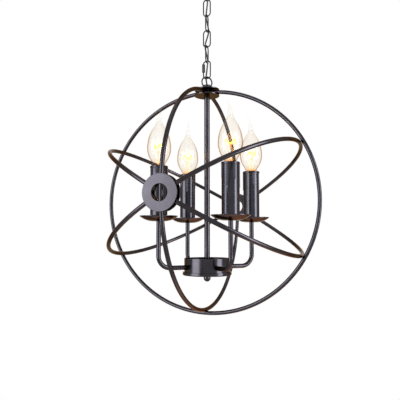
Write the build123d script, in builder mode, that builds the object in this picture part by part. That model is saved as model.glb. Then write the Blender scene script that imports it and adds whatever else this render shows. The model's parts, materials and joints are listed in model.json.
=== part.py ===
from build123d import *
import os
from math import asin, cos, degrees, pi, radians, sin, sqrt, tan

# Orb chandelier: a globe of four hoops that hangs on a chain from a ceiling canopy, with four
# candle lights on bent arms inside it. All sizes in millimetres. The origin is the middle of the
# ceiling mount, +Z is up, and the largest hoop lies in the XZ plane.

# ---------------------------------------------------------------- clearances
SEAT_GAP = 0.05  # between pieces that are welded, clamped or stood on each other
RUNNING_GAP = 0.3  # between pieces that move on each other
SCREW_GAP = 0.05  # radial, between a thread and its hole

# ---------------------------------------------------------------- ceiling end
CANOPY_DIAMETER = 120.0
CANOPY_HEIGHT = 26.0
CANOPY_FLAT_DIAMETER = 36.0
CANOPY_RIM_HEIGHT = 5.0
CANOPY_SHEET = 1.2
STRAP_LENGTH = 104.0
STRAP_WIDTH = 18.0
STRAP_THICKNESS = 2.0
STRAP_SLOT_SPACING = 70.0
STRAP_SLOT_LENGTH = 20.0
STRAP_SLOT_WIDTH = 4.5
PIPE_DIAMETER = 10.0  # lamp pipe thread, shared by the rod and the canopy nipple
PIPE_WALL = 1.5
PIPE_ENGAGEMENT = 5.3  # length of pipe that is screwed into a loop's barrel
PIPE_NUT_WIDTH = 17.0
PIPE_NUT_HEIGHT = 5.0
CANOPY_EYE_DIAMETER = 22.0
CANOPY_EYE_WIRE = 3.0
CANOPY_EYE_BURY = 1.0
CANOPY_BARREL_DIAMETER = 15.0
CANOPY_BARREL_HEIGHT = 8.0
WIRE_WAY_DIAMETER = 4.8

# ---------------------------------------------------------------- chain
LINK_COUNT = 5
LINK_LENGTH = 33.6
LINK_WIDTH = 15.4
LINK_WIRE = 2.2
QUICK_LINK_LENGTH = 33.8
QUICK_LINK_CORNER = 5.0
QUICK_NUT_LENGTH = 14.5
QUICK_NUT_WIDTH = 5.0
QUICK_NUT_BODY_BELOW_CORNER = 0.2
QUICK_LINK_MOUTH = 6.0

# ---------------------------------------------------------------- hanging loop on the orb
EYE_DIAMETER = 22.3
EYE_WIRE = 2.5
EYE_BURY = 4.3
EYE_ANGLE = 45.0
BARREL_DIAMETER = 13.0
BARREL_HEIGHT = 8.0

# ---------------------------------------------------------------- orb
ORB_DIAMETER = 400.0
TUBE_DIAMETER = 7.0
SLANT_ANGLE = 30.0
HUB_DIAMETER = 55.0
HUB_HOLE_DIAMETER = 25.0
HUB_SHEET = 1.8
HUB_EDGE_RADIUS = 0.6
HUB_TUBE_SETBACK = 0.6  # from the hub's hole to the ends of the slanted hoops
TOP_PLATE_DIAMETER = 45.0
TOP_PLATE_SHEET = 1.7

# ---------------------------------------------------------------- drum and rod, heights from the orb's centre
DRUM_DIAMETER = 80.8
DRUM_SHEET = 1.5
DRUM_TOP = -101.0
DRUM_BOTTOM = -128.5
COVER_WALL = 2.75
COVER_RIM_HEIGHT = 5.6
COVER_FLOOR = 2.0
COVER_EDGE_RADIUS = 1.8
FINIAL_DIAMETER = 12.4
FINIAL_HEIGHT = 11.5
FINIAL_THREAD_DEPTH = 7.0
ROD_SLOT_TOP = -101.8
ROD_SLOT_HEIGHT = 7.5
ROD_SLOT_WIDTH = 4.0
TERMINAL_DIAMETER = 30.0
TERMINAL_HEIGHT = 7.0
TERMINAL_BORE_GAP = 0.6

# ---------------------------------------------------------------- arms and candles
ARM_COUNT = 4
ARM_FIRST_AZIMUTH = 225.0
CANDLE_RADIUS = 90.5
ARM_HEIGHT = -116.4
ARM_DIAMETER = 8.0
ARM_BORE = 6.0
ARM_BEND = 21.0
ARM_INNER_END = 30.0
ARM_NUT_WIDTH = 13.0
ARM_NUT_HEIGHT = 4.0
WIRE_DIAMETER = 2.4
PAN_DIAMETER = 64.8
PAN_UNDERSIDE = -37.0
PAN_DEPTH = 8.4
PAN_SHEET = 1.0
PAN_FLAT_DIAMETER = 18.0
NIPPLE_DIAMETER = 5.9
NIPPLE_BORE = 3.6
NIPPLE_BELOW_PAN = 12.0
NIPPLE_ABOVE_PAN = 5.0
HOLDER_FLANGE_DIAMETER = 18.0
HOLDER_FLANGE_HEIGHT = 2.0
HOLDER_STEM_DIAMETER = 10.0
HOLDER_STEM_HEIGHT = 24.0
HOLDER_DIAMETER = 23.8
HOLDER_BELOW_SLEEVE_TOP = 5.4
SOCKET_DIAMETER = 14.4
SOCKET_DEPTH = 25.5
SLEEVE_DIAMETER = 29.4
SLEEVE_WALL = 1.5
SLEEVE_TOP = 57.4
SLEEVE_LIP = 0.7
SLEEVE_LIP_HEIGHT = 3.0
DRIP_WIDTH = 3.8
DRIP_PROUD = 0.8
DRIP_LENGTHS = (24.0, 38.0, 19.0, 31.0, 41.0, 22.0, 34.0)  # wax runs round a sleeve, from its lip down

# ---------------------------------------------------------------- bulbs, heights from the top of the cap
CAP_DIAMETER = 13.8
CAP_LENGTH = 22.0
CAP_CONTACT_DIAMETER = 7.0
CAP_CONTACT_LENGTH = 3.0
GLASS_WALL = 0.8
GLASS_DIAMETER = 41.2
GLASS_WIDEST = 36.0
GLASS_TAIL_START = 83.0
GLASS_TAIL_DIAMETER = 9.8
GLASS_UPPER = ((34.0, 57.5), (17.8, 74.0), (GLASS_TAIL_DIAMETER, GLASS_TAIL_START))  # diameter, height
GLASS_LOWER = ((30.2, 17.0), (13.2, 0.0))
GLASS_TIPS = (105.5, 108.5, 112.0, 112.0)  # the blown tips differ a little
GLASS_TIP_DIAMETER = 1.6
GLASS_TIP_LEAN = 6.5
STEM_DIAMETER = 7.0
STEM_HEIGHT = 22.0
FILAMENT_WIRE = 0.8
FILAMENT_BOTTOM = 35.0
FILAMENT_TOP = 46.0
FILAMENT_DIP = 4.5
FILAMENT_SPREAD = 14.0
TIP_TURNS = (80.0, 150.0, 180.0, 95.0)  # which way each bent tip leans

# ---------------------------------------------------------------- supply cable
CABLE_DIAMETER = 2.8
CABLE_SIDE = 3.4  # how far the cable stands off the chain's axis, both ways, where two links meet
CABLE_EYE_SIDE = 3.9
CABLE_BEND = 14.0
CABLE_EXIT_BEND = 6.0
CABLE_EXIT_SLOPE = 60.0
CABLE_EXIT_REACH = 9.8

# ---------------------------------------------------------------- sizes that follow from those
tube_radius = TUBE_DIAMETER / 2
pipe_radius = PIPE_DIAMETER / 2
pipe_bore_radius = pipe_radius - PIPE_WALL
wire_radius = LINK_WIRE / 2
face_radius = (ORB_DIAMETER - TUBE_DIAMETER) / 2
inner_radius = face_radius - TUBE_DIAMETER - SEAT_GAP
hub_radius = HUB_DIAMETER / 2
hub_hole_radius = HUB_HOLE_DIAMETER / 2
link_reach = LINK_LENGTH - LINK_WIRE
quick_reach = QUICK_LINK_LENGTH - LINK_WIRE


def hang(upper_wire, lower_wire):
    """Distance between the centre lines of two wires that hang on each other."""
    return (upper_wire + lower_wire) / 2 + RUNNING_GAP


# Heights down the chain: the centre line of each wire where the next one hangs on it.
canopy_eye_radius = (CANOPY_EYE_DIAMETER - CANOPY_EYE_WIRE) / 2
canopy_barrel_bottom = -CANOPY_HEIGHT - SEAT_GAP - CANOPY_BARREL_HEIGHT
canopy_eye_z = canopy_barrel_bottom + CANOPY_EYE_BURY - canopy_eye_radius
canopy_eye_bottom = canopy_eye_z - canopy_eye_radius
link_tops = []
link_bottoms = []
wire_above = CANOPY_EYE_WIRE
hold_z = canopy_eye_bottom
for _ in range(LINK_COUNT):
    link_tops.append(hold_z + hang(wire_above, LINK_WIRE))
    link_bottoms.append(link_tops[-1] - link_reach)
    wire_above = LINK_WIRE
    hold_z = link_bottoms[-1]
quick_top = hold_z + hang(LINK_WIRE, LINK_WIRE)
quick_bottom = quick_top - quick_reach
eye_radius = (EYE_DIAMETER - EYE_WIRE) / 2
eye_top = quick_bottom + hang(LINK_WIRE, EYE_WIRE)
eye_z = eye_top - eye_radius
barrel_top = eye_z - eye_radius + EYE_BURY
barrel_bottom = barrel_top - BARREL_HEIGHT
top_plate_top = barrel_bottom - SEAT_GAP
orb_z = top_plate_top - TOP_PLATE_SHEET - SEAT_GAP - tube_radius - face_radius

drum_top = orb_z + DRUM_TOP
drum_bottom = orb_z + DRUM_BOTTOM
drum_radius = DRUM_DIAMETER / 2
cover_bottom = drum_bottom - SEAT_GAP - COVER_FLOOR
finial_top = cover_bottom - SEAT_GAP
rod_nut_bottom = drum_bottom + DRUM_SHEET + SEAT_GAP
terminal_bottom = rod_nut_bottom + PIPE_NUT_HEIGHT + SEAT_GAP
terminal_top = terminal_bottom + TERMINAL_HEIGHT
arm_z = orb_z + ARM_HEIGHT
pan_underside = orb_z + PAN_UNDERSIDE
pan_floor = pan_underside + PAN_SHEET
arm_top = pan_underside - SEAT_GAP
pan_run = (PAN_DIAMETER - PAN_FLAT_DIAMETER) / 2
pan_curve = (pan_run**2 + PAN_DEPTH**2) / (2 * PAN_DEPTH)
sleeve_run = max(0, (SLEEVE_DIAMETER - PAN_FLAT_DIAMETER) / 2)
sleeve_rise = pan_curve - sqrt(pan_curve**2 - sleeve_run**2)
sleeve_bottom = pan_floor + sleeve_rise + SEAT_GAP
sleeve_top = orb_z + SLEEVE_TOP
sleeve_inner_radius = SLEEVE_DIAMETER / 2 - SLEEVE_WALL
holder_top = sleeve_top - HOLDER_BELOW_SLEEVE_TOP
socket_floor = holder_top - SOCKET_DEPTH
cap_top = socket_floor + RUNNING_GAP + CAP_CONTACT_LENGTH + CAP_LENGTH
arm_azimuths = [ARM_FIRST_AZIMUTH + 360.0 / ARM_COUNT * i for i in range(ARM_COUNT)]

os.makedirs("parts", exist_ok=True)


def write(part, name):
    """Label a finished piece and write it."""
    part.label = name
    export_step(part, f"parts/{name}.step")


def upright_plane(azimuth, z=0.0, radius=0.0):
    """Plane that stands upright, local x outward at the azimuth and local y up."""
    c, s = cos(radians(azimuth)), sin(radians(azimuth))
    return Plane(origin=(radius * c, radius * s, z), x_dir=(c, s, 0), z_dir=(s, -c, 0))


def level_plane(azimuth, z, radius):
    """Level plane at a radius from the axis, local x outward at the azimuth."""
    c, s = cos(radians(azimuth)), sin(radians(azimuth))
    return Plane(origin=(radius * c, radius * s, z), x_dir=(c, s, 0), z_dir=(0, 0, 1))


def end_plane(path):
    """Plane across the start of a path."""
    return Plane(origin=path @ 0, z_dir=path % 0)


def ring_of_revolution(plane, outer, inner, height):
    """Flat ring, such as a washer, that stands on a plane."""
    with BuildPart() as ring:
        with BuildSketch(plane):
            Circle(outer)
            Circle(inner, mode=Mode.SUBTRACT)
        extrude(amount=height)
    return ring.part


def hex_nut(plane, width, bore, height):
    """Hexagon nut across the flats, standing on a plane."""
    with BuildPart() as nut:
        with BuildSketch(plane):
            RegularPolygon(width / 2, 6, major_radius=False)
            Circle(bore / 2, mode=Mode.SUBTRACT)
        extrude(amount=height)
    return nut.part


# ================================================================ ceiling end
def mounting_strap():
    with BuildPart() as strap:
        with BuildSketch(Plane.XY.offset(-STRAP_THICKNESS)):
            SlotOverall(STRAP_LENGTH, STRAP_WIDTH, rotation=90)
            Circle(pipe_radius + SCREW_GAP, mode=Mode.SUBTRACT)
            with Locations((0, STRAP_SLOT_SPACING / 2), (0, -STRAP_SLOT_SPACING / 2)):
                SlotOverall(STRAP_SLOT_LENGTH, STRAP_SLOT_WIDTH, rotation=90, mode=Mode.SUBTRACT)
        extrude(amount=STRAP_THICKNESS)
    return strap.part


def canopy():
    rim = CANOPY_DIAMETER / 2
    flat = CANOPY_FLAT_DIAMETER / 2
    hole = pipe_radius + SCREW_GAP
    with BuildPart() as cup:
        with BuildSketch(Plane.XZ):
            with BuildLine():
                Line((hole, -CANOPY_HEIGHT), (flat, -CANOPY_HEIGHT))
                TangentArc((flat, -CANOPY_HEIGHT), (rim, -CANOPY_RIM_HEIGHT), tangent=(1, 0))
                Line((rim, -CANOPY_RIM_HEIGHT), (rim, 0))
                Line((rim, 0), (rim - CANOPY_SHEET, 0))
                Line((rim - CANOPY_SHEET, 0), (rim - CANOPY_SHEET, -CANOPY_RIM_HEIGHT))
                TangentArc(
                    (flat, CANOPY_SHEET - CANOPY_HEIGHT),
                    (rim - CANOPY_SHEET, -CANOPY_RIM_HEIGHT),
                    tangent=(1, 0),
                )
                Line((flat, CANOPY_SHEET - CANOPY_HEIGHT), (hole, CANOPY_SHEET - CANOPY_HEIGHT))
                Line((hole, CANOPY_SHEET - CANOPY_HEIGHT), (hole, -CANOPY_HEIGHT))
            make_face()
        revolve(axis=Axis.Z)
    return cup.part


def eye_loop(eye, wire, eye_z_centre, azimuth, barrel, mouth_z, far_z):
    """Round eye on a barrel. The pipe screws in at mouth_z, and a wire way runs on to far_z."""
    up = 1 if far_z > mouth_z else -1
    with BuildPart() as loop:
        with BuildSketch(Plane.XY.offset(eye_z_centre)):
            with Locations((eye, 0)):
                Circle(wire / 2)
        revolve(axis=Axis((0, 0, eye_z_centre), (0, 1, 0)))
        with BuildSketch(Plane.XY.offset(min(mouth_z, far_z))):
            Circle(barrel / 2)
        extrude(amount=abs(far_z - mouth_z))
        with BuildSketch(Plane.XY.offset(mouth_z)):
            Circle(pipe_radius + SCREW_GAP)
        extrude(amount=up * (PIPE_ENGAGEMENT + SEAT_GAP), mode=Mode.SUBTRACT)
        with BuildSketch(Plane.XY.offset(mouth_z)):
            Circle(WIRE_WAY_DIAMETER / 2)
        extrude(amount=up * (abs(far_z - mouth_z) + wire), mode=Mode.SUBTRACT)
    return loop.part.rotate(Axis.Z, azimuth)


def pipe_nipple(top_z, bottom_z):
    height = top_z - bottom_z
    return ring_of_revolution(Plane.XY.offset(bottom_z), pipe_radius, pipe_bore_radius, height)


write(mounting_strap(), "mounting_strap")
write(canopy(), "canopy")
nipple_bottom = -CANOPY_HEIGHT - SEAT_GAP - PIPE_ENGAGEMENT
write(pipe_nipple(0, nipple_bottom), "canopy_nipple")
write(
    hex_nut(
        Plane.XY.offset(-STRAP_THICKNESS - SEAT_GAP - PIPE_NUT_HEIGHT),
        PIPE_NUT_WIDTH,
        PIPE_DIAMETER + 2 * SCREW_GAP,
        PIPE_NUT_HEIGHT,
    ),
    "canopy_nut",
)
write(
    eye_loop(
        canopy_eye_radius,
        CANOPY_EYE_WIRE,
        canopy_eye_z,
        0,
        CANOPY_BARREL_DIAMETER,
        -CANOPY_HEIGHT - SEAT_GAP,
        canopy_barrel_bottom,
    ),
    "canopy_loop",
)


# ================================================================ chain
def chain_link(azimuth, top, bottom):
    """Oval link of round wire between two wire centre heights."""
    bend = (LINK_WIDTH - LINK_WIRE) / 2
    half = (top - bottom) / 2 - bend
    plane = upright_plane(azimuth, (top + bottom) / 2)
    with BuildPart() as link:
        with BuildLine(plane) as path:
            Line((bend, -half), (bend, half))
            CenterArc((0, half), bend, 0, 180)
            Line((-bend, half), (-bend, -half))
            CenterArc((0, -half), bend, 180, 180)
        with BuildSketch(end_plane(path.wire())):
            Circle(wire_radius)
        sweep(path=path.wire())
    return link.part


def quick_link():
    """Longer link with square shoulders and a mouth in one leg, which the sleeve nut bridges."""
    half_width = (LINK_WIDTH - LINK_WIRE) / 2
    corner = QUICK_LINK_CORNER
    high, low = quick_top - corner, quick_bottom + corner
    mouth_top = quick_top - QUICK_LINK_CORNER - QUICK_NUT_BODY_BELOW_CORNER - LINK_WIRE / 4
    with BuildPart() as link:
        with BuildLine(Plane.XZ) as path:
            Line((half_width, low), (half_width, high))
            CenterArc((half_width - corner, high), corner, 0, 90)
            Line((half_width - corner, quick_top), (corner - half_width, quick_top))
            CenterArc((corner - half_width, high), corner, 90, 90)
            Line((-half_width, high), (-half_width, low))
            CenterArc((corner - half_width, low), corner, 180, 90)
            Line((corner - half_width, quick_bottom), (half_width - corner, quick_bottom))
            CenterArc((half_width - corner, low), corner, 270, 90)
        with BuildSketch(end_plane(path.wire())):
            Circle(wire_radius)
        sweep(path=path.wire())
        with BuildSketch(Plane.XY.offset(mouth_top)):
            with Locations((-half_width, 0)):
                Rectangle(2 * LINK_WIRE, 2 * LINK_WIRE)
        extrude(amount=-QUICK_LINK_MOUTH, mode=Mode.SUBTRACT)
    return link.part


def quick_link_nut():
    half_width = (LINK_WIDTH - LINK_WIRE) / 2
    nut_top = quick_top - QUICK_LINK_CORNER - QUICK_NUT_BODY_BELOW_CORNER
    with BuildPart() as nut:
        with BuildSketch(Plane(origin=(-half_width, 0, nut_top - QUICK_NUT_LENGTH))):
            RegularPolygon(QUICK_NUT_WIDTH / 2, 6, major_radius=False)
            Circle(wire_radius + SCREW_GAP, mode=Mode.SUBTRACT)
        extrude(amount=QUICK_NUT_LENGTH)
    return nut.part


for number, (top, bottom) in enumerate(zip(link_tops, link_bottoms), start=1):
    write(chain_link(90 if number % 2 else 0, top, bottom), f"chain_link_{number}")
write(quick_link(), "quick_link")
write(quick_link_nut(), "quick_link_nut")
write(
    eye_loop(eye_radius, EYE_WIRE, eye_z, EYE_ANGLE, BARREL_DIAMETER, barrel_bottom, barrel_top),
    "hanging_loop",
)


# ================================================================ orb
rod_hole = pipe_radius + SCREW_GAP


def rod_gap(radius):
    """Angle on each side of the top at which a hoop of this radius ends, clear of the rod."""
    return degrees(asin((rod_hole + SEAT_GAP) / (radius - tube_radius)))


def face_hoop():
    """Largest hoop, open at the top where the rod passes between its ends."""
    gap = rod_gap(face_radius)
    with BuildPart() as hoop:
        with BuildLine(upright_plane(0, orb_z)) as path:
            CenterArc((0, 0), face_radius, 90 + gap, 180 - gap)
            CenterArc((0, 0), face_radius, 270, 180 - gap)
        with BuildSketch(end_plane(path.wire())):
            Circle(tube_radius)
        sweep(path=path.wire())
    return hoop.part


def meridian_hoop():
    """Ring in the YZ plane. It stands on the face hoop's foot and is level with it at the top."""
    rise = face_radius - inner_radius
    gap = rod_gap(inner_radius)
    with BuildPart() as hoop:
        with BuildLine(upright_plane(90, orb_z)) as path:
            CenterArc((0, rise), inner_radius, 90 + gap, 90 - gap)
            Line((-inner_radius, rise), (-inner_radius, 0))
            CenterArc((0, 0), inner_radius, 180, 180)
            Line((inner_radius, 0), (inner_radius, rise))
            CenterArc((0, rise), inner_radius, 0, 90 - gap)
        with BuildSketch(end_plane(path.wire())):
            Circle(tube_radius)
        sweep(path=path.wire())
    return hoop.part


def degrees_at(offset):
    """Angle along the inner ring at which it stands this far from the hub's axis."""
    return degrees(asin(offset / inner_radius))


def slanted_half(slope, side):
    """Half of a slanted hoop, from hub to hub, on the side towards +X (1) or -X (-1)."""
    end = hub_hole_radius + HUB_TUBE_SETBACK
    cut = degrees_at(end)
    out = (side * cos(radians(slope)), 0, side * sin(radians(slope)))
    normal = Vector(*out).cross(Vector(0, 1, 0))
    plane = Plane(origin=(0, 0, orb_z), x_dir=out, z_dir=tuple(normal))
    with BuildPart() as half:
        with BuildLine(plane) as path:
            CenterArc((0, 0), inner_radius, cut - 90, 180 - 2 * cut)
        with BuildSketch(end_plane(path.wire())):
            Circle(tube_radius)
        sweep(path=path.wire())
    return half.part


def slanted_hoop(slope):
    return Compound(children=[slanted_half(slope, side).solid() for side in (1, -1)])


def hub_washer(side, outer_face):
    """Round washer across a hub's axis. Its outer face is at this distance from the orb's centre."""
    plane = Plane(origin=(0, side * outer_face, orb_z), x_dir=(1, 0, 0), z_dir=(0, -side, 0))
    with BuildPart() as washer:
        add(ring_of_revolution(plane, hub_radius, hub_hole_radius, HUB_SHEET))
        face_edges = washer.edges().filter_by(GeomType.CIRCLE).group_by(Axis.Y)
        fillet(face_edges[-1 if side > 0 else 0], radius=HUB_EDGE_RADIUS)
    return washer.part


def top_plate(top_z):
    plane = Plane.XY.offset(top_z - TOP_PLATE_SHEET)
    return ring_of_revolution(plane, TOP_PLATE_DIAMETER / 2, rod_hole, TOP_PLATE_SHEET)


write(face_hoop(), "face_hoop")
write(meridian_hoop(), "meridian_hoop")
write(slanted_hoop(SLANT_ANGLE), "rising_slanted_hoop")
write(slanted_hoop(-SLANT_ANGLE), "falling_slanted_hoop")

# The outer washer rests on the tubes' outsides, and the inner one on their insides at its rim.
hub_outer_face = inner_radius + tube_radius + SEAT_GAP + HUB_SHEET
hub_inner_seat = sqrt((inner_radius - tube_radius) ** 2 - hub_radius**2) - SEAT_GAP
for side, place in ((-1, "front"), (1, "rear")):
    write(hub_washer(side, hub_outer_face), f"{place}_hub_outer_washer")
    write(hub_washer(side, hub_inner_seat), f"{place}_hub_inner_washer")

top_reach = face_radius - tube_radius
lower_plate_top = orb_z + sqrt(top_reach**2 - (TOP_PLATE_DIAMETER / 2) ** 2) - 2 * SEAT_GAP
write(top_plate(top_plate_top), "top_plate_upper")
write(top_plate(lower_plate_top), "top_plate_lower")


# ================================================================ rod and drum
def centre_rod():
    """Pipe from the hanging loop down to the finial, with a slot in the drum for the cable."""
    top_z = barrel_bottom + PIPE_ENGAGEMENT
    bottom_z = finial_top - FINIAL_THREAD_DEPTH + RUNNING_GAP
    slot_z = orb_z + ROD_SLOT_TOP
    with BuildPart() as rod:
        with BuildSketch(Plane.XY.offset(bottom_z)):
            Circle(pipe_radius)
            Circle(pipe_bore_radius, mode=Mode.SUBTRACT)
        extrude(amount=top_z - bottom_z)
        with BuildSketch(Plane.YZ):
            with Locations((0, slot_z - ROD_SLOT_HEIGHT / 2)):
                SlotOverall(ROD_SLOT_HEIGHT, ROD_SLOT_WIDTH, rotation=90)
        extrude(amount=PIPE_DIAMETER, mode=Mode.SUBTRACT)
    return rod.part


def drum():
    inner = drum_radius - DRUM_SHEET
    floor = drum_bottom + DRUM_SHEET
    with BuildPart() as cup:
        with BuildSketch(Plane.XZ):
            with BuildLine():
                Polyline(
                    (rod_hole, drum_bottom),
                    (drum_radius, drum_bottom),
                    (drum_radius, drum_top),
                    (inner, drum_top),
                    (inner, floor),
                    (rod_hole, floor),
                    close=True,
                )
            make_face()
        revolve(axis=Axis.Z)
        for azimuth in arm_azimuths:
            across = Plane(
                origin=(0, 0, arm_z),
                x_dir=(0, 0, 1),
                z_dir=(cos(radians(azimuth)), sin(radians(azimuth)), 0),
            )
            with BuildSketch(across):
                Circle(ARM_DIAMETER / 2 + SCREW_GAP)
            extrude(amount=DRUM_DIAMETER, mode=Mode.SUBTRACT)
    return cup.part


def bottom_cover():
    seat = drum_radius + SEAT_GAP
    outer = seat + COVER_WALL
    rim_top = cover_bottom + COVER_RIM_HEIGHT
    with BuildPart() as cover:
        with BuildSketch(Plane.XZ):
            with BuildLine():
                Polyline(
                    (rod_hole, cover_bottom),
                    (outer, cover_bottom),
                    (outer, rim_top),
                    (seat, rim_top),
                    (seat, cover_bottom + COVER_FLOOR),
                    (rod_hole, cover_bottom + COVER_FLOOR),
                    close=True,
                )
            make_face()
        revolve(axis=Axis.Z)
        rim_edges = cover.edges().filter_by(GeomType.CIRCLE).group_by(SortBy.RADIUS)[-1]
        fillet(rim_edges.sort_by(Axis.Z)[0], radius=COVER_EDGE_RADIUS)
    return cover.part


def finial():
    """Round-ended nut that closes the rod's lower end."""
    outer = FINIAL_DIAMETER / 2
    bottom = finial_top - FINIAL_HEIGHT
    with BuildPart() as knob:
        with BuildSketch(Plane.XZ):
            with BuildLine():
                Line((rod_hole, finial_top), (outer, finial_top))
                Line((outer, finial_top), (outer, bottom + outer))
                CenterArc((0, bottom + outer), outer, 270, 90)
                Line((0, bottom), (0, finial_top - FINIAL_THREAD_DEPTH))
                Line((0, finial_top - FINIAL_THREAD_DEPTH), (rod_hole, finial_top - FINIAL_THREAD_DEPTH))
                Line((rod_hole, finial_top - FINIAL_THREAD_DEPTH), (rod_hole, finial_top))
            make_face()
        revolve(axis=Axis.Z)
    return knob.part


def arm_nut(azimuth):
    """Nut on an arm's inner end. Its face meets the drum's wall at the hexagon's corners."""
    corner = ARM_NUT_WIDTH / 2 / cos(radians(30))
    face = sqrt((drum_radius - DRUM_SHEET) ** 2 - corner**2) - SEAT_GAP
    c, s = cos(radians(azimuth)), sin(radians(azimuth))
    plane = Plane(origin=(face * c, face * s, arm_z), x_dir=(0, 0, 1), z_dir=(-c, -s, 0))
    return hex_nut(plane, ARM_NUT_WIDTH, ARM_DIAMETER + 2 * SCREW_GAP, ARM_NUT_HEIGHT)


write(centre_rod(), "centre_rod")
write(drum(), "drum")
write(bottom_cover(), "bottom_cover")
write(finial(), "finial")
rod_nut_plane = Plane.XY.offset(rod_nut_bottom)
rod_nut = hex_nut(rod_nut_plane, PIPE_NUT_WIDTH, PIPE_DIAMETER + 2 * SCREW_GAP, PIPE_NUT_HEIGHT)
drum_nuts = [rod_nut.solid()] + [arm_nut(azimuth).solid() for azimuth in arm_azimuths]
write(Compound(children=drum_nuts), "drum_nuts")
write(
    ring_of_revolution(
        Plane.XY.offset(terminal_bottom),
        TERMINAL_DIAMETER / 2,
        pipe_radius + TERMINAL_BORE_GAP,
        TERMINAL_HEIGHT,
    ),
    "terminal_block",
)


# ================================================================ arms and candles
def along_arm(azimuth, start_radius, end_z, outer, inner=0.0):
    """Round tube or wire along an arm's centre line, from a radius in the drum up to a height."""
    with BuildPart() as tube:
        with BuildLine(upright_plane(azimuth, arm_z)) as path:
            FilletPolyline(
                (start_radius, 0),
                (CANDLE_RADIUS, 0),
                (CANDLE_RADIUS, end_z - arm_z),
                radius=ARM_BEND,
            )
        with BuildSketch(end_plane(path.wire())):
            Circle(outer / 2)
            if inner:
                Circle(inner / 2, mode=Mode.SUBTRACT)
        sweep(path=path.wire())
    return tube.part


def drip_pan(azimuth):
    """Shallow spun dish on the arm's end."""
    rim = PAN_DIAMETER / 2
    flat = PAN_FLAT_DIAMETER / 2
    hole = NIPPLE_DIAMETER / 2 + SCREW_GAP
    plane = upright_plane(azimuth, pan_underside, CANDLE_RADIUS)
    with BuildPart() as dish:
        with BuildSketch(plane):
            with BuildLine():
                Line((hole, 0), (flat, 0))
                TangentArc((flat, 0), (rim, PAN_DEPTH), tangent=(1, 0))
                Line((rim, PAN_DEPTH), (rim, PAN_DEPTH + PAN_SHEET))
                TangentArc((flat, PAN_SHEET), (rim, PAN_DEPTH + PAN_SHEET), tangent=(1, 0))
                Line((flat, PAN_SHEET), (hole, PAN_SHEET))
                Line((hole, PAN_SHEET), (hole, 0))
            make_face()
        revolve(axis=Axis(plane.origin, (0, 0, 1)))
    return dish.part


def candle_nipple(azimuth):
    bottom = pan_underside - NIPPLE_BELOW_PAN
    plane = level_plane(azimuth, bottom, CANDLE_RADIUS)
    height = NIPPLE_BELOW_PAN + PAN_SHEET + NIPPLE_ABOVE_PAN
    return ring_of_revolution(plane, NIPPLE_DIAMETER / 2, NIPPLE_BORE / 2, height)


holder_bottom = pan_floor + SEAT_GAP
nipple_top = pan_floor + NIPPLE_ABOVE_PAN


def lampholder(azimuth):
    """Candle lampholder: a flange on the pan, a stem, and the socket's body."""
    hole = NIPPLE_DIAMETER / 2 + SCREW_GAP
    hole_roof = nipple_top + SEAT_GAP - holder_bottom
    body_bottom = HOLDER_STEM_HEIGHT
    top = holder_top - holder_bottom
    floor = socket_floor - holder_bottom
    plane = upright_plane(azimuth, holder_bottom, CANDLE_RADIUS)
    with BuildPart() as holder:
        with BuildSketch(plane):
            with BuildLine():
                Polyline(
                    (0, hole_roof),
                    (hole, hole_roof),
                    (hole, 0),
                    (HOLDER_FLANGE_DIAMETER / 2, 0),
                    (HOLDER_FLANGE_DIAMETER / 2, HOLDER_FLANGE_HEIGHT),
                    (HOLDER_STEM_DIAMETER / 2, HOLDER_FLANGE_HEIGHT),
                    (HOLDER_STEM_DIAMETER / 2, body_bottom),
                    (HOLDER_DIAMETER / 2, body_bottom),
                    (HOLDER_DIAMETER / 2, top),
                    (SOCKET_DIAMETER / 2, top),
                    (SOCKET_DIAMETER / 2, floor),
                    (0, floor),
                    close=True,
                )
            make_face()
        revolve(axis=Axis(plane.origin, (0, 0, 1)))
    return holder.part


def candle_sleeve(azimuth):
    """Candle tube over the lampholder, with a thicker lip at its mouth and runs of wax below it."""
    outer = SLEEVE_DIAMETER / 2
    height = sleeve_top - sleeve_bottom
    plane = upright_plane(azimuth, sleeve_bottom, CANDLE_RADIUS)
    drip_radius = DRIP_WIDTH / 2
    drip_seat = outer + DRIP_PROUD - drip_radius
    with BuildPart() as sleeve:
        with BuildSketch(plane):
            with BuildLine():
                Polyline(
                    (0, 0),
                    (outer, 0),
                    (outer, height - SLEEVE_LIP_HEIGHT - SLEEVE_LIP),
                    (outer + SLEEVE_LIP, height - SLEEVE_LIP_HEIGHT),
                    (outer + SLEEVE_LIP, height - SLEEVE_LIP),
                    (outer, height),
                    (0, height),
                    close=True,
                )
            make_face()
        revolve(axis=Axis(plane.origin, (0, 0, 1)))
        for i, length in enumerate(DRIP_LENGTHS):
            turn = radians(azimuth + 360 * i / len(DRIP_LENGTHS))
            top = sleeve_top - SLEEVE_LIP_HEIGHT
            at = plane.origin + Vector(drip_seat * cos(turn), drip_seat * sin(turn), 0)
            foot = Vector(at.X, at.Y, top - length)
            with BuildSketch(Plane(origin=foot)):
                Circle(drip_radius)
            extrude(amount=length)
            with Locations(foot):
                Sphere(drip_radius)
        with BuildSketch(level_plane(azimuth, sleeve_bottom, CANDLE_RADIUS)):
            Circle(sleeve_inner_radius)
        extrude(amount=height, mode=Mode.SUBTRACT)
    return sleeve.part


def bulb_cap(azimuth):
    """Screw cap with a small contact below it."""
    plane = level_plane(azimuth, cap_top, CANDLE_RADIUS)
    with BuildPart() as cap:
        with BuildSketch(plane):
            Circle(CAP_DIAMETER / 2)
        extrude(amount=-CAP_LENGTH)
        with BuildSketch(plane.offset(-CAP_LENGTH)):
            Circle(CAP_DIAMETER / 2)
        with BuildSketch(plane.offset(-CAP_LENGTH - CAP_CONTACT_LENGTH)):
            Circle(CAP_CONTACT_DIAMETER / 2)
        loft()
    return cap.part


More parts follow.
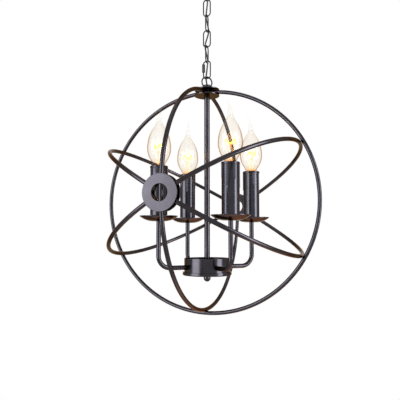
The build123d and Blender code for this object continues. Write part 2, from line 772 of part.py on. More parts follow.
def flame(azimuth, number, inset):
    """Flame-shaped body, its surface this far inside the glass's outside. The outside has a bent tip."""
    base = cap_top + SEAT_GAP
    centre = level_plane(azimuth, base, CANDLE_RADIUS).origin
    lean = radians(TIP_TURNS[number])
    out = Vector(cos(lean), sin(lean), 0)
    across = Vector(sin(lean), -cos(lean), 0)
    neck = GLASS_LOWER[-1][0] / 2 - inset
    tail = GLASS_TAIL_DIAMETER / 2 - inset
    belly = (GLASS_DIAMETER / 2 - inset, GLASS_WIDEST)
    with BuildPart() as body:
        with BuildSketch(Plane(origin=centre, x_dir=out, z_dir=across)):
            with BuildLine():
                Line((0, inset), (neck, inset))
                for profile, slope in ((GLASS_UPPER, (0, 1)), (GLASS_LOWER, (0, -1))):
                    at = belly
                    for diameter, height in profile:
                        to = (diameter / 2 - inset, max(height, inset))
                        arc = TangentArc(at, to, tangent=slope)
                        at, slope = to, arc % 1
                Line((tail, GLASS_TAIL_START), (0, GLASS_TAIL_START))
                Line((0, GLASS_TAIL_START), (0, inset))
            make_face()
        revolve(axis=Axis(centre, (0, 0, 1)))
        if not inset:
            length = GLASS_TIPS[number] - GLASS_TAIL_START
            for share, radius in ((0, tail), (0.4, tail * 0.62), (1, GLASS_TIP_DIAMETER / 2)):
                rise = Vector(0, 0, GLASS_TAIL_START + length * share)
                slope = Vector(0, 0, length) + out * (2 * GLASS_TIP_LEAN * share)
                at = centre + rise + out * (GLASS_TIP_LEAN * share**2)
                with BuildSketch(Plane(origin=at, x_dir=across, z_dir=slope)):
                    Circle(radius)
            loft()
    return body.part


def bulb_glass(azimuth, number):
    with BuildPart() as glass:
        add(flame(azimuth, number, 0))
        add(flame(azimuth, number, GLASS_WALL), mode=Mode.SUBTRACT)
    return glass.part


def bulb_filament(azimuth):
    """Glass stem on the bulb's base, with two leads and the filament's loop."""
    base = cap_top + SEAT_GAP + GLASS_WALL + SEAT_GAP
    plane = upright_plane(azimuth, base, CANDLE_RADIUS)
    spread = FILAMENT_SPREAD / 2
    with BuildPart() as inner:
        with BuildSketch(plane):
            with BuildLine():
                Polyline(
                    (0, 0),
                    (STEM_DIAMETER / 2, 0),
                    (STEM_DIAMETER / 4, STEM_HEIGHT),
                    (0, STEM_HEIGHT),
                    close=True,
                )
            make_face()
        revolve(axis=Axis(plane.origin, (0, 0, 1)))
        with BuildLine(plane) as path:
            FilletPolyline(
                (-STEM_DIAMETER / 8, STEM_HEIGHT / 2),
                (-STEM_DIAMETER / 8, STEM_HEIGHT),
                (-spread, FILAMENT_BOTTOM),
                (-spread / 2, FILAMENT_TOP),
                (0, FILAMENT_TOP - FILAMENT_DIP),
                (spread / 2, FILAMENT_TOP),
                (spread, FILAMENT_BOTTOM),
                (STEM_DIAMETER / 8, STEM_HEIGHT),
                (STEM_DIAMETER / 8, STEM_HEIGHT / 2),
                radius=FILAMENT_WIRE * 2,
            )
        with BuildSketch(end_plane(path.wire())):
            Circle(FILAMENT_WIRE / 2)
        sweep(path=path.wire())
    return inner.part


for number, azimuth in enumerate(arm_azimuths, start=1):
    write(along_arm(azimuth, ARM_INNER_END, arm_top, ARM_DIAMETER, ARM_BORE), f"arm_{number}")
    write(drip_pan(azimuth), f"drip_pan_{number}")
    write(candle_sleeve(azimuth), f"candle_sleeve_{number}")
    write(lampholder(azimuth), f"lampholder_{number}")
    write(bulb_cap(azimuth), f"bulb_cap_{number}")
    write(bulb_glass(azimuth, number - 1), f"bulb_glass_{number}")
    write(bulb_filament(azimuth), f"bulb_filament_{number}")
nipples = [candle_nipple(azimuth).solid() for azimuth in arm_azimuths]
write(Compound(children=nipples), "candle_nipples")
terminal_side = TERMINAL_DIAMETER / 2 + SEAT_GAP
wires = [along_arm(a, terminal_side, nipple_top, WIRE_DIAMETER).solid() for a in arm_azimuths]
write(Compound(children=wires), "arm_wires")


# ================================================================ supply cable
def meeting(upper, lower):
    """Height midway between two wires that hang on each other."""
    return (upper + lower) / 2


def supply_cable():
    """Cable woven down the chain, then down the rod and out of its slot to the terminal block."""
    side = CABLE_SIDE
    mouth = CABLE_BEND / 4
    exit_run = CABLE_EXIT_REACH / tan(radians(CABLE_EXIT_SLOPE))
    exit_z = terminal_top + SEAT_GAP + exit_run + CABLE_EXIT_BEND
    corners = [
        (0, 0, canopy_barrel_bottom - mouth),
        (-CABLE_EYE_SIDE, -CABLE_EYE_SIDE, meeting(canopy_eye_bottom, link_tops[0])),
    ]
    quarters = [(side, -side), (-side, side), (side, side), (-side, -side)]
    for i in range(LINK_COUNT - 1):
        x, y = quarters[i % 4]
        corners.append((x, y, meeting(link_bottoms[i], link_tops[i + 1])))
    corners += [
        (side, -side, meeting(link_bottoms[-1], quick_top)),
        (-side, side, meeting(quick_bottom, eye_top)),
        (0, 0, barrel_top + mouth),
        (0, 0, exit_z),
        (CABLE_EXIT_REACH, 0, exit_z - exit_run),
    ]
    radii = [CABLE_BEND] * (len(corners) - 2) + [CABLE_EXIT_BEND] * 2
    ends = [(0, 0, -SEAT_GAP)], [(CABLE_EXIT_REACH, 0, terminal_top + SEAT_GAP)]
    with BuildPart() as cable:
        with BuildLine() as path:
            FilletPolyline(*ends[0], *corners, *ends[1], radius=radii)
        with BuildSketch(end_plane(path.wire())):
            Circle(CABLE_DIAMETER / 2)
        sweep(path=path.wire())
    length = path.wire().length
    section = pi * (CABLE_DIAMETER / 2) ** 2
    print("cable bend radii:", radii)
    print(f"cable length {length:.1f}, volume over section times length {cable.part.volume / section / length:.4f}")
    return cable.part


write(supply_cable(), "supply_cable")
print(f"orb centre at z = {orb_z:.3f}, lowest point at z = {orb_z - ORB_DIAMETER / 2:.3f}")
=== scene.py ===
import json
from math import cos, inf, pi, radians, sin, sqrt

import bpy
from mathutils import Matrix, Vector


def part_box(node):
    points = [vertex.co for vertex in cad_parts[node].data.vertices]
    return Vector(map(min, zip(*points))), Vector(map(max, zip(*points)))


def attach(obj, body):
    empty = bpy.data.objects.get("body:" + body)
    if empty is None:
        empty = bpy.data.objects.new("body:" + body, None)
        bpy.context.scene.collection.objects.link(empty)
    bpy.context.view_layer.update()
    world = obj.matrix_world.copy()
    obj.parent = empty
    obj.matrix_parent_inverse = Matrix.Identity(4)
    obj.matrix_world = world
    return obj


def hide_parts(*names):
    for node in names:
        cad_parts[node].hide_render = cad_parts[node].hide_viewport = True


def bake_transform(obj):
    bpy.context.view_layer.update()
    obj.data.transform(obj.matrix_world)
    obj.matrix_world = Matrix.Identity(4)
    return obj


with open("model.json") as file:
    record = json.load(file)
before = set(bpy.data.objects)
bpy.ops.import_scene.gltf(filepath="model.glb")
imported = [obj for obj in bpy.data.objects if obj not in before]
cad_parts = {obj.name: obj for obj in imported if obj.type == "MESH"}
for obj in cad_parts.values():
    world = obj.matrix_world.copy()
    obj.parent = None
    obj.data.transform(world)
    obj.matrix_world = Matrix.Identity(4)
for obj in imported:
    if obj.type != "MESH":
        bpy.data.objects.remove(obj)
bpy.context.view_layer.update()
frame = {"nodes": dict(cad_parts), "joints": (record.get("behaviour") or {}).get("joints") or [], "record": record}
nodes = frame["nodes"]
scene = bpy.context.scene
MM = 0.001


# ================================================================ places, in metres
def axis_of(name):
    """Where the upright axis of a round piece stands, as (x, y)."""
    low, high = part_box(name)
    return (low.x + high.x) / 2, (low.y + high.y) / 2


ORB_Z = (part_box("face_hoop")[0].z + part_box("face_hoop")[1].z) / 2
ORB_MIDDLE = (0, 0, ORB_Z)
SLEEVE_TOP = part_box("candle_sleeve_1")[1].z
CANDLES = [axis_of(f"lampholder_{number}") for number in range(1, 5)]


def placed(name, data):
    """A new object in the scene."""
    made = bpy.data.objects.new(name, data)
    scene.collection.objects.link(made)
    return made


# ================================================================ shader helpers
def feed(tree, socket, value):
    """Give a socket a number, a colour or the output of another node."""
    if isinstance(value, (int, float)):
        socket.default_value = value
    elif isinstance(value, tuple):
        socket.default_value = (*value, 1)
    else:
        tree.links.new(value, socket)


def empty_tree(owner):
    """The cleared node tree of a material or a world."""
    owner.use_nodes = True
    owner.node_tree.nodes.clear()
    return owner.node_tree


def node(tree, kind, **inputs):
    """A node with its inputs set by name, where an underscore stands for a space."""
    made = tree.nodes.new(kind)
    for label, value in inputs.items():
        feed(tree, made.inputs[label.replace("_", " ")], value)
    return made


def maths(tree, operation, first, second):
    """One step of arithmetic on two values, each a number or the output of another node."""
    made = tree.nodes.new("ShaderNodeMath")
    made.operation = operation
    feed(tree, made.inputs[0], first)
    feed(tree, made.inputs[1], second)
    return made.outputs[0]


def ramp(tree, source, stops):
    """Colours or grey values that follow a source, from (place, value) stops."""
    made = tree.nodes.new("ShaderNodeValToRGB")
    elements = made.color_ramp.elements
    while len(elements) < len(stops):
        elements.new(0.5)
    for element, (place, value) in zip(elements, stops):
        element.position = place
        element.color = (*value, 1) if isinstance(value, tuple) else (value, value, value, 1)
    tree.links.new(source, made.inputs["Fac"])
    return made.outputs["Color"]


def socket_of(sockets, name, kind):
    """The socket of that name and kind, for a node that has several of one name."""
    return next(socket for socket in sockets if socket.name == name and socket.type == kind)


def mix(tree, factor, first, second, mode="MIX"):
    """Two colours mixed or multiplied by a factor."""
    made = tree.nodes.new("ShaderNodeMix")
    made.data_type = "RGBA"
    made.blend_type = mode
    feed(tree, socket_of(made.inputs, "Factor", "VALUE"), factor)
    feed(tree, socket_of(made.inputs, "A", "RGBA"), first)
    feed(tree, socket_of(made.inputs, "B", "RGBA"), second)
    return socket_of(made.outputs, "Result", "RGBA")


def mix_shaders(tree, factor, first, second):
    """Two shaders mixed by a factor."""
    made = tree.nodes.new("ShaderNodeMixShader")
    for socket, value in zip(made.inputs, (factor, first, second)):
        tree.links.new(value, socket)
    return made.outputs[0]


def put_out(tree, shader):
    """Show a shader on the surface."""
    out = tree.nodes.new("ShaderNodeOutputMaterial")
    tree.links.new(shader, out.inputs["Surface"])


def object_place(tree):
    """The place on the object, in its own metres."""
    return tree.nodes.new("ShaderNodeTexCoord").outputs["Object"]


def height_between(tree, place, low, high):
    """From 0 at the low height to 1 at the high one."""
    split = tree.nodes.new("ShaderNodeSeparateXYZ")
    tree.links.new(place, split.inputs[0])
    rise = node(tree, "ShaderNodeMapRange", From_Min=low, From_Max=high, Value=split.outputs["Z"])
    return rise.outputs[0]


def sees_white(tree):
    """1 for the camera's own rays and those that metal or glass sends on, and 0 for soft light."""
    rays = tree.nodes.new("ShaderNodeLightPath")
    share = rays.outputs["Is Camera Ray"]
    for kind in ("Is Glossy Ray", "Is Transmission Ray"):
        share = maths(tree, "MAXIMUM", share, rays.outputs[kind])
    return share


# ================================================================ the finish that the surfaces share
GRAIN_PER_CLOUD = 22.0
SPECKS_PER_CLOUD = 9.0
SPECK_SIZE = 0.09  # as a share of the distance between two specks
GRAIN_DEPTH = 0.12 * MM


def make_finish_group():
    """Cloudy variation, fine grain, dust specks and the relief of a sprayed or moulded surface."""
    tree = bpy.data.node_groups.new("Finish", "ShaderNodeTree")
    for label, value in (("Scale", 40.0), ("Relief", 0.1)):
        socket = tree.interface.new_socket(label, in_out="INPUT", socket_type="NodeSocketFloat")
        socket.default_value = value
    for label in ("Cloud", "Grain", "Specks"):
        tree.interface.new_socket(label, in_out="OUTPUT", socket_type="NodeSocketFloat")
    tree.interface.new_socket("Normal", in_out="OUTPUT", socket_type="NodeSocketVector")
    given = tree.nodes.new("NodeGroupInput").outputs
    out = tree.nodes.new("NodeGroupOutput")
    place = object_place(tree)
    scale = given["Scale"]
    cloud = node(tree, "ShaderNodeTexNoise", Vector=place, Scale=scale, Detail=4.0, Roughness=0.6)
    fine = maths(tree, "MULTIPLY", scale, GRAIN_PER_CLOUD)
    grain = node(tree, "ShaderNodeTexNoise", Vector=place, Scale=fine, Detail=2.0, Roughness=0.5)
    dots = maths(tree, "MULTIPLY", scale, SPECKS_PER_CLOUD)
    specks = node(tree, "ShaderNodeTexVoronoi", Vector=place, Scale=dots)
    near = maths(tree, "LESS_THAN", specks.outputs["Distance"], SPECK_SIZE)
    height = grain.outputs["Fac"]
    bump = node(tree, "ShaderNodeBump", Distance=GRAIN_DEPTH, Strength=given["Relief"], Height=height)
    tree.links.new(cloud.outputs["Fac"], out.inputs["Cloud"])
    tree.links.new(height, out.inputs["Grain"])
    tree.links.new(near, out.inputs["Specks"])
    tree.links.new(bump.outputs["Normal"], out.inputs["Normal"])
    return tree


FINISH = make_finish_group()


def finish_of(tree, scale, relief):
    """The shared finish at a scale and a relief, as its outputs."""
    made = tree.nodes.new("ShaderNodeGroup")
    made.node_tree = FINISH
    made.inputs["Scale"].default_value = scale
    made.inputs["Relief"].default_value = relief
    return made.outputs


# ================================================================ materials
DUST = (0.34, 0.32, 0.3)
NO_TINT = (1, 1, 1)
GRAIN_SHADE = 0.86  # how dark the grain's deepest part makes the colour
SMOOTHEST, ROUGHEST = 0.82, 1.22  # times the roughness that a surface is given


def surface(name, dark, light, rough, scale, relief, metallic=0.0, specks=0.0, rim=NO_TINT):
    """A surface that clouds between two colours, with roughness that follows the same clouds."""
    material = bpy.data.materials.new(name)
    tree = empty_tree(material)
    finish = finish_of(tree, scale, relief)
    clouds = ramp(tree, finish["Cloud"], [(0.32, dark), (0.7, light)])
    grain = ramp(tree, finish["Grain"], [(0.3, GRAIN_SHADE), (0.7, 1.0)])
    colour = mix(tree, 1.0, clouds, grain, "MULTIPLY")
    if specks:
        dusty = maths(tree, "MULTIPLY", finish["Specks"], specks)
        colour = mix(tree, dusty, colour, DUST)
    roughness = ramp(tree, finish["Cloud"], [(0.3, rough * SMOOTHEST), (0.72, rough * ROUGHEST)])
    shader = node(tree, "ShaderNodeBsdfPrincipled", Metallic=metallic, Specular_Tint=rim)
    tree.links.new(colour, shader.inputs["Base Color"])
    tree.links.new(roughness, shader.inputs["Roughness"])
    tree.links.new(finish["Normal"], shader.inputs["Normal"])
    put_out(tree, shader.outputs["BSDF"])
    return material


def dark_paint(name, dark, light, rough, scale, relief, specks):
    """Dark sprayed metal whose edges turn brown where it is seen at a slant."""
    brown_rim = (0.56, 0.45, 0.37)
    return surface(name, dark, light, rough, scale, relief, metallic=1.0, specks=specks, rim=brown_rim)


def bronze_paint():
    """Half bright dark bronze, on the hoops, hubs, plates, rod, drum, finial, arms, pans and canopy."""
    dark, light = (0.033, 0.031, 0.035), (0.047, 0.044, 0.051)
    return dark_paint("bronze_look", dark, light, rough=0.2, scale=30, relief=0.08, specks=0.05)


def chain_paint():
    """The same paint, darker and duller, on the chain, the quick link and both loops."""
    dark, light = (0.024, 0.022, 0.025), (0.038, 0.035, 0.039)
    return dark_paint("chain_look", dark, light, rough=0.28, scale=60, relief=0.12, specks=0.06)


def candle_paint():
    """Smooth dark paint with hardly any dust, on the candle sleeves."""
    dark, light = (0.036, 0.035, 0.041), (0.048, 0.047, 0.055)
    return dark_paint("candle_look", dark, light, rough=0.2, scale=40, relief=0.08, specks=0.03)


def zinc_plated_steel():
    """Dull grey plating, on the strap, the nuts and the threaded nipples."""
    dark, light = (0.28, 0.28, 0.29), (0.42, 0.42, 0.43)
    return surface("zinc_look", dark, light, rough=0.34, scale=90, relief=0.2, metallic=1.0)


def cable_jacket():
    """Black rubbery jacket of the supply cable."""
    dark, light = (0.008, 0.008, 0.009), (0.02, 0.02, 0.022)
    return surface("cable_look", dark, light, rough=0.42, scale=120, relief=0.3)


def wire_insulation():
    """Dark insulation of the wires in the arms."""
    dark, light = (0.02, 0.02, 0.022), (0.05, 0.05, 0.055)
    return surface("wire_look", dark, light, rough=0.4, scale=120, relief=0.2)


def ceramic():
    """Off-white glazed ceramic of the terminal block."""
    dark, light = (0.62, 0.6, 0.55), (0.78, 0.76, 0.71)
    return surface("ceramic_look", dark, light, rough=0.2, scale=60, relief=0.1)


def black_moulding():
    """Black moulded plastic of the lampholders."""
    dark, light = (0.012, 0.012, 0.013), (0.03, 0.03, 0.032)
    return surface("moulding_look", dark, light, rough=0.4, scale=80, relief=0.2)


def bulb_cap_metal():
    """Bare light metal of the bulbs' screw caps."""
    dark, light = (0.4, 0.39, 0.36), (0.6, 0.58, 0.54)
    return surface("cap_look", dark, light, rough=0.28, scale=90, relief=0.15, metallic=1.0)


def lead_copper():
    """Copper leads and hooks that hold the lit coil."""
    dark, light = (0.75, 0.36, 0.14), (0.9, 0.5, 0.24)
    return surface("lead_look", dark, light, rough=0.4, scale=200, relief=0.1, metallic=0.3)


AMBER_REACH = 16 * MM  # the amber at the foot of the glass fades out over this
PALER_START, PALER_END = 50 * MM, 68 * MM  # above the sleeve, the outline turns paler between these


def glass_tint(tree, facing, clouds):
    """Faintly cream glass, with a tan outline, a paler one near the tip, and amber at its foot."""
    body = [
        (0.0, (0.995, 0.99, 0.974)),
        (0.5, (0.985, 0.972, 0.95)),
        (0.66, (0.93, 0.88, 0.82)),
        (0.82, (0.74, 0.61, 0.48)),
    ]
    tip = [(0.0, (0.995, 0.99, 0.98)), (0.7, (0.97, 0.95, 0.92)), (1.0, (0.9, 0.84, 0.78))]
    foot = [(0.0, (1.0, 0.8, 0.58)), (0.3, (1.0, 0.95, 0.89)), (0.8, (1.0, 1.0, 1.0))]
    place = object_place(tree)
    outline = ramp(tree, facing, body)
    rise = height_between(tree, place, SLEEVE_TOP, SLEEVE_TOP + AMBER_REACH)
    amber = ramp(tree, rise, foot)
    paler = height_between(tree, place, SLEEVE_TOP + PALER_START, SLEEVE_TOP + PALER_END)
    outline = mix(tree, paler, outline, ramp(tree, facing, tip))
    streaks = ramp(tree, clouds, [(0.35, (0.992, 0.986, 0.975)), (0.65, (1.0, 1.0, 1.0))])
    return mix(tree, 1.0, mix(tree, 1.0, outline, amber, "MULTIPLY"), streaks, "MULTIPLY")


def bulb_glass():
    """Thin clear glass that shows what is behind it, with a faint shine."""
    material = bpy.data.materials.new("bulb_glass_look")
    tree = empty_tree(material)
    finish = finish_of(tree, scale=30.0, relief=0.05)
    facing = node(tree, "ShaderNodeLayerWeight", Blend=0.5).outputs["Facing"]
    clear = tree.nodes.new("ShaderNodeBsdfTransparent")
    tree.links.new(glass_tint(tree, facing, finish["Cloud"]), clear.inputs["Color"])
    gloss = node(tree, "ShaderNodeBsdfGlossy", Color=(1, 0.98, 0.94))
    roughness = ramp(tree, finish["Cloud"], [(0.3, 0.04), (0.7, 0.1)])
    tree.links.new(roughness, gloss.inputs["Roughness"])
    tree.links.new(finish["Normal"], gloss.inputs["Normal"])
    shine = ramp(tree, facing, [(0.0, 0.012), (0.6, 0.03), (1.0, 0.07)])
    put_out(tree, mix_shaders(tree, shine, clear.outputs[0], gloss.outputs[0]))
    return material


FILAMENT_STRENGTH = 1.7


def lit_filament():
    """Lit coil, a little uneven along its length."""
    material = bpy.data.materials.new("filament_glow")
    tree = empty_tree(material)
    finish = finish_of(tree, scale=300.0, relief=0.1)
    hot = ramp(tree, finish["Cloud"], [(0.2, (1.0, 0.72, 0.0)), (0.8, (1.0, 0.94, 0.02))])
    glow = node(tree, "ShaderNodeBsdfPrincipled", Emission_Strength=FILAMENT_STRENGTH)
    tree.links.new(hot, glow.inputs["Emission Color"])
    tree.links.new(hot, glow.inputs["Base Color"])
    tree.links.new(finish["Normal"], glow.inputs["Normal"])
    put_out(tree, glow.outputs[0])
    return material


LOOKS = {
    "bronze_paint": bronze_paint(),
    "chain_paint": chain_paint(),
    "candle_paint": candle_paint(),
    "zinc_plated_steel": zinc_plated_steel(),
    "cable_jacket": cable_jacket(),
    "wire_insulation": wire_insulation(),
    "ceramic": ceramic(),
    "black_moulding": black_moulding(),
    "bulb_glass": bulb_glass(),
    "bulb_cap_metal": bulb_cap_metal(),
    "filament": lit_filament(),
}
LEAD_LOOK = lead_copper()
for part in frame["record"]["subparts"]:
    mesh = nodes[part["node"]].data
    mesh.materials.clear()
    mesh.materials.append(LOOKS[part["material_slot"]])
    for polygon in mesh.polygons:
        polygon.material_index = 0

# ================================================================ camera
LENS, SENSOR_WIDTH = 43.46, 36.0  # in mm
CAMERA_RIGHT, CAMERA_BACK, CAMERA_BELOW = 0.2965, 0.8049, 0.05866  # from the orb's middle
CAMERA_TILT, CAMERA_TURN = 0.0704, 0.3676  # in radians, up and to the left
camera = placed("camera", bpy.data.cameras.new("camera"))
camera.data.lens = LENS
camera.data.sensor_width = SENSOR_WIDTH
camera.data.clip_start = 10 * MM
camera.location = (CAMERA_RIGHT, -CAMERA_BACK, ORB_Z - CAMERA_BELOW)
camera.rotation_euler = (pi / 2 + CAMERA_TILT, 0, CAMERA_TURN)
scene.camera = camera

# ================================================================ light
COOL_WHITE = (0.94, 0.95, 1.0)
CEILING_WHITE = (0.95, 0.96, 1.0)
WARM_ORANGE = (1.0, 0.45, 0.2)


def softbox(name, place, width, height, power, colour):
    """A rectangular lamp that looks at the orb's middle."""
    light = bpy.data.lights.new(name, "AREA")
    light.shape = "RECTANGLE"
    light.size, light.size_y = width, height
    light.energy = power
    light.color = colour
    lamp = placed(name, light)
    lamp.location = place
    lamp.rotation_euler = (Vector(ORB_MIDDLE) - Vector(place)).to_track_quat("-Z", "Y").to_euler()


softbox("left_softbox", (-1.22, -1.58, ORB_Z + 0.15), width=1.4, height=1.8, power=56, colour=COOL_WHITE)
softbox("right_softbox", (1.99, -0.2, ORB_Z + 0.25), width=0.9, height=1.8, power=50, colour=COOL_WHITE)
softbox("top_softbox", (-0.1, 0.0, ORB_Z + 1.5), width=1.1, height=1.1, power=4, colour=CEILING_WHITE)
softbox("warm_bounce", (0.2, 0.35, ORB_Z - 1.0), width=1.3, height=1.3, power=9, colour=WARM_ORANGE)


def studio_world():
    """A dim room, warmer below, that the camera, metal and glass see as a white background."""
    floor_side, low_wall = (0.4, 0.32, 0.26), (0.42, 0.38, 0.36)
    high_wall, ceiling = (0.46, 0.46, 0.48), (0.55, 0.55, 0.57)
    world = bpy.data.worlds.new("studio")
    tree = empty_tree(world)
    direction = tree.nodes.new("ShaderNodeTexCoord").outputs["Generated"]
    height = height_between(tree, direction, -1.0, 1.0)
    room = ramp(tree, height, [(0.0, floor_side), (0.45, low_wall), (0.55, high_wall), (1.0, ceiling)])
    sky = mix(tree, sees_white(tree), room, (1.0, 1.0, 1.0))
    back = node(tree, "ShaderNodeBackground", Color=sky)
    out = tree.nodes.new("ShaderNodeOutputWorld")
    tree.links.new(back.outputs[0], out.inputs["Surface"])
    return world


scene.world = studio_world()
scene.view_settings.view_transform = "Standard"

# ================================================================ floor
FLOOR_Z = -1.65
FLOOR_SIZE = 16.0
FADE_START, FADE_END = 0.8, 2.4  # from the middle of the floor
WHITE_SHARE = 0.86  # of the white background in the floor's colour, inside the fade


def floor_material():
    """Matt pale floor with a faint shadow, that fades into the white background."""
    material = surface("floor_look", (0.76, 0.755, 0.75), (0.8, 0.795, 0.79), rough=0.7, scale=3, relief=0.05)
    tree = material.node_tree
    out = next(made for made in tree.nodes if made.type == "OUTPUT_MATERIAL")
    lit = out.inputs["Surface"].links[0].from_socket
    white = node(tree, "ShaderNodeEmission", Color=(1, 1, 1))
    reach = tree.nodes.new("ShaderNodeVectorMath")
    reach.operation = "LENGTH"
    tree.links.new(object_place(tree), reach.inputs[0])
    fade = node(tree, "ShaderNodeMapRange", From_Min=FADE_START, From_Max=FADE_END, To_Min=WHITE_SHARE)
    tree.links.new(reach.outputs["Value"], fade.inputs["Value"])
    share = maths(tree, "MULTIPLY", sees_white(tree), fade.outputs[0])
    tree.links.new(mix_shaders(tree, share, lit, white.outputs[0]), out.inputs["Surface"])
    return material


bpy.ops.mesh.primitive_plane_add(size=FLOOR_SIZE, location=(0, 0, FLOOR_Z))
floor = bpy.context.object
floor.name = "floor"
floor.data.materials.append(floor_material())


# ================================================================ round pieces and wires
def add_spline(curve, route, steps):
    """A smooth spline of a curve, with the route as its control points."""
    spline = curve.splines.new("NURBS")
    spline.points.add(len(route) - 1)
    for point, place in zip(spline.points, route):
        point.co = (*place, 1)
    spline.order_u = 3
    spline.use_endpoint_u = True
    spline.resolution_u = steps


def wires(name, routes, radius, material):
    """One piece of several smooth round wires."""
    curve = bpy.data.curves.new(name, "CURVE")
    curve.dimensions = "3D"
    curve.bevel_depth = radius
    curve.bevel_resolution = 3
    curve.use_fill_caps = True
    for route in routes:
        add_spline(curve, route, steps=6)
    curve.materials.append(material)
    return placed(name, curve)


def spline_points(route):
    """Points along the smooth spline that has the route as its control points."""
    curve = bpy.data.curves.new("route", "CURVE")
    curve.dimensions = "3D"
    add_spline(curve, route, steps=8)
    holder = placed("route", curve)
    mesh = bpy.data.meshes.new_from_object(holder)
    points = [vertex.co.copy() for vertex in mesh.vertices]
    bpy.data.objects.remove(holder)
    bpy.data.meshes.remove(mesh)
    return points


def ringed(name, rings, material):
    """A closed piece through rings of points, smooth on its side and flat at both ends."""
    sides = len(rings[0])
    verts = [tuple(point) for ring in rings for point in ring]
    faces = []
    for start in range(0, len(verts) - sides, sides):
        for k in range(sides):
            a, b = start + k, start + (k + 1) % sides
            faces.append((a, b, b + sides, a + sides))
    faces.append(tuple(reversed(range(sides))))
    faces.append(tuple(range(len(verts) - sides, len(verts))))
    mesh = bpy.data.meshes.new(name)
    mesh.from_pydata(verts, [], faces)
    for polygon in mesh.polygons:
        polygon.use_smooth = len(polygon.vertices) == 4
    mesh.materials.append(material)
    return placed(name, mesh)


def lathe(name, centre, profile, material, sides=28):
    """A turned piece on an upright axis at centre, from (radius, height) steps."""
    x, y = centre
    angles = [2 * pi * k / sides for k in range(sides)]
    rings = []
    for radius, height in profile:
        rings.append([(x + radius * cos(a), y + radius * sin(a), height) for a in angles])
    return ringed(name, rings, material)


ACROSS = (1, 0.3, 0.1)  # roughly the way that a tube's first ring faces


def tube(name, route, radius, material, sides=16):
    """A smooth tube along points, with its rings turned as little as possible."""
    angles = [2 * pi * k / sides for k in range(sides)]
    rings = []
    up = Vector(ACROSS).normalized()
    for i, point in enumerate(route):
        ahead = (route[min(i + 1, len(route) - 1)] - route[max(i - 1, 0)]).normalized()
        up = (up - ahead * up.dot(ahead)).normalized()
        side = ahead.cross(up)
        rings.append([point + up * (radius * cos(a)) + side * (radius * sin(a)) for a in angles])
    return ringed(name, rings, material)


# ================================================================ inside of the bulbs
COIL_ARC = 8.8 * MM  # radius of the arc, round the bulb's axis, that the lit coil follows
COIL_WIRE_RADIUS = 0.8 * MM
COIL_BELOW_TOP = 0.6 * MM  # from the top of the plain filament that it stands for to the coil's peak
COIL_HALF = [(95, -11.0), (72, -2.0), (46, 0.0), (20, -6.0)]  # degrees round the arc, mm from the coil's peak
COIL_LINE = [(-turn, drop) for turn, drop in COIL_HALF] + [(0, -7.0)] + COIL_HALF[::-1]
LEAD_WIRE_RADIUS = 0.22 * MM
LEAD_TURNS = (-95, 95)
LEAD_ROOT = 1.6 * MM  # distances from the bulb's axis
LEAD_KNEE = 3.0 * MM
HOOK_ROOT = 1.0 * MM
HOOK_KNEE = 4.5 * MM
LEAD_RISE = 14 * MM  # above the stem's foot
BUTTON_RISE = 27 * MM
LEAD_END_DROP = 11.5 * MM  # below the coil's peak
HOOK_KNEE_DROP = 7 * MM
HOOK_ENDS = [(-46, -0.6), (0, -5.6), (46, -0.6)]  # as in the coil's line
FACES_TOWARDS = [335, 290, 245, 292]  # the way that each coil's open side looks, in degrees
STEM_PROFILE = [  # radius, height above the foot, in mm: flare, neck and the button on its end
    (5.6, 0.1),
    (5.4, 1.0),
    (3.4, 3.4),
    (2.5, 7.0),
    (2.1, 16.0),
    (1.9, 23.0),
    (2.7, 25.5),
    (2.9, 27.0),
    (2.0, 29.0),
    (0.4, 29.6),
]
GLOW_POWER = 0.04
GLOW_COLOUR = (1.0, 0.5, 0.18)
GLOW_DROP = 4 * MM  # below the coil's peak


def bulb_glow(number, place):
    """The warm light of one lit coil."""
    glow = bpy.data.lights.new(f"bulb_glow_{number}", "POINT")
    glow.energy = GLOW_POWER
    glow.shadow_soft_size = COIL_ARC
    glow.color = GLOW_COLOUR
    placed(glow.name, glow).location = place


def bulb_inside(number, x, y, towards):
    """The glass stem, the lit coil, and the leads and hooks that hold the coil, in one bulb."""
    low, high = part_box(f"bulb_filament_{number}")
    peak = high.z - COIL_BELOW_TOP
    button = low.z + BUTTON_RISE

    def spot(turn, out, z):
        """A place at a turn round the coil's arc, out from the bulb's axis."""
        angle = radians(towards + 180 + turn)
        return (x + out * cos(angle), y + out * sin(angle), z)

    loop = [spot(turn, COIL_ARC, peak + drop * MM) for turn, drop in COIL_LINE]
    holders = []
    for turn in LEAD_TURNS:
        root, knee = spot(turn, LEAD_ROOT, low.z + LEAD_RISE), spot(turn, LEAD_KNEE, button)
        holders.append([root, knee, spot(turn, COIL_ARC, peak - LEAD_END_DROP)])
    for turn, drop in HOOK_ENDS:
        root, knee = spot(turn, HOOK_ROOT, button), spot(turn, HOOK_KNEE, peak - HOOK_KNEE_DROP)
        holders.append([root, knee, spot(turn, COIL_ARC, peak + drop * MM)])
    profile = [(radius * MM, low.z + height * MM) for radius, height in STEM_PROFILE]
    stem = lathe(f"bulb_stem_{number}", (x, y), profile, LOOKS["bulb_glass"])
    coil = wires(f"bulb_coil_{number}", [loop], COIL_WIRE_RADIUS, LOOKS["filament"])
    leads = wires(f"bulb_leads_{number}", holders, LEAD_WIRE_RADIUS, LEAD_LOOK)
    for piece, slot in ((stem, "bulb_glass"), (coil, "filament"), (leads, "filament")):
        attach(piece, f"bulb_{number}")
    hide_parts(f"bulb_filament_{number}")
    bulb_glow(number, (x, y, peak - GLOW_DROP))


for number, ((x, y), towards) in enumerate(zip(CANDLES, FACES_TOWARDS), 1):
    bulb_inside(number, x, y, towards)

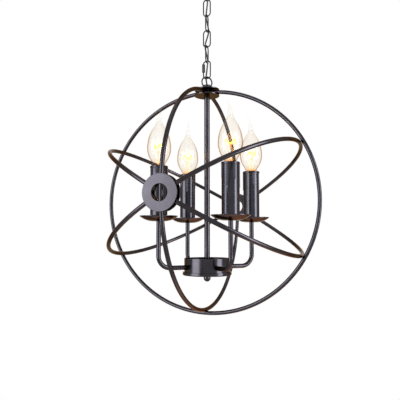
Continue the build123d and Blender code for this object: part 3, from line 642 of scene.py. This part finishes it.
# ================================================ supply cable, one span for each joint that it crosses
CABLE_RADIUS = 1.4 * MM
HANG_GAP = 0.3 * MM  # between two wires that hang in each other
CANOPY_EYE_WIRE, LINK_WIRE, LAMP_EYE_WIRE = 3.0 * MM, 2.2 * MM, 2.5 * MM  # diameters
BARREL_HEIGHT = 8 * MM  # of the loops on the canopy and on the lamp
MOUTH_CLEAR = 1.5 * MM  # a control point stands this far outside a barrel
PIPE_RUN = 12 * MM  # and this far along the pipe from its mouth or from the exit
WEAVE, EYE_WEAVE = 2.6 * MM, 3.0 * MM  # off the chain's axis, both ways, where two wires meet
BESIDE = 3.2 * MM  # above and below each meeting
EXIT_REACH = 9.8 * MM  # from the rod's axis to the way into the terminal block
EXIT_DROP = EXIT_REACH / sqrt(3)  # 30 degrees below level
EXIT_BEND = 6 * MM  # above the cable's lower end
MEETING_SIDES = [(-1, -1), (1, -1), (-1, 1), (1, 1), (-1, -1), (1, -1), (-1, 1)]  # from the top

swings = [joint for joint in frame["joints"] if joint["name"].endswith("_swing")]
meets = [joint["pos_m"][2] for joint in swings]


def cable_route():
    """Control points of the cable: canopy, past each meeting of the chain, down the rod and to the block."""
    low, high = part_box("supply_cable")
    canopy_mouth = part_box("canopy_loop")[1].z - BARREL_HEIGHT
    lamp_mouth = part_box("hanging_loop")[0].z + BARREL_HEIGHT
    exit_z = low.z + EXIT_DROP + EXIT_BEND
    chain_wires = [CANOPY_EYE_WIRE, *[LINK_WIRE] * (len(meets) - 1), LAMP_EYE_WIRE]
    outs = [EYE_WEAVE, *[WEAVE] * (len(meets) - 1)]
    route = [(0, 0, high.z), (0, 0, canopy_mouth - MOUTH_CLEAR)]
    hangs = [(upper + lower) / 2 + HANG_GAP for upper, lower in zip(chain_wires, chain_wires[1:])]
    for meet, hang, out, (x_side, y_side) in zip(meets, hangs, outs, MEETING_SIDES):
        middle = meet + hang / 2
        for height in (middle + BESIDE, middle - BESIDE):
            route.append((x_side * out, y_side * out, height))
    for height in (lamp_mouth + MOUTH_CLEAR, lamp_mouth - PIPE_RUN, exit_z + PIPE_RUN, exit_z):
        route.append((0, 0, height))
    return [*route, (EXIT_REACH, 0, exit_z - EXIT_DROP), (EXIT_REACH, 0, low.z)]


def cable_span(number, points, high, low):
    """The stretch of the cable between two heights, round the joint that it passes."""
    inside = [k for k, point in enumerate(points) if low <= point.z <= high]
    first, last = max(inside[0] - 1, 0), min(inside[-1] + 1, len(points) - 1)
    stretch = points[first : last + 1]
    piece = tube(f"cable_span_{number}", stretch, CABLE_RADIUS, LOOKS["cable_jacket"])
    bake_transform(piece)
    return piece


cable_points = spline_points(cable_route())
cuts = [inf, *[(upper + lower) / 2 for upper, lower in zip(meets, meets[1:])], -inf]
for number, (joint, high, low) in enumerate(zip(swings, cuts, cuts[1:]), 1):
    cable_span(number, cable_points, high, low)
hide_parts("supply_cable")
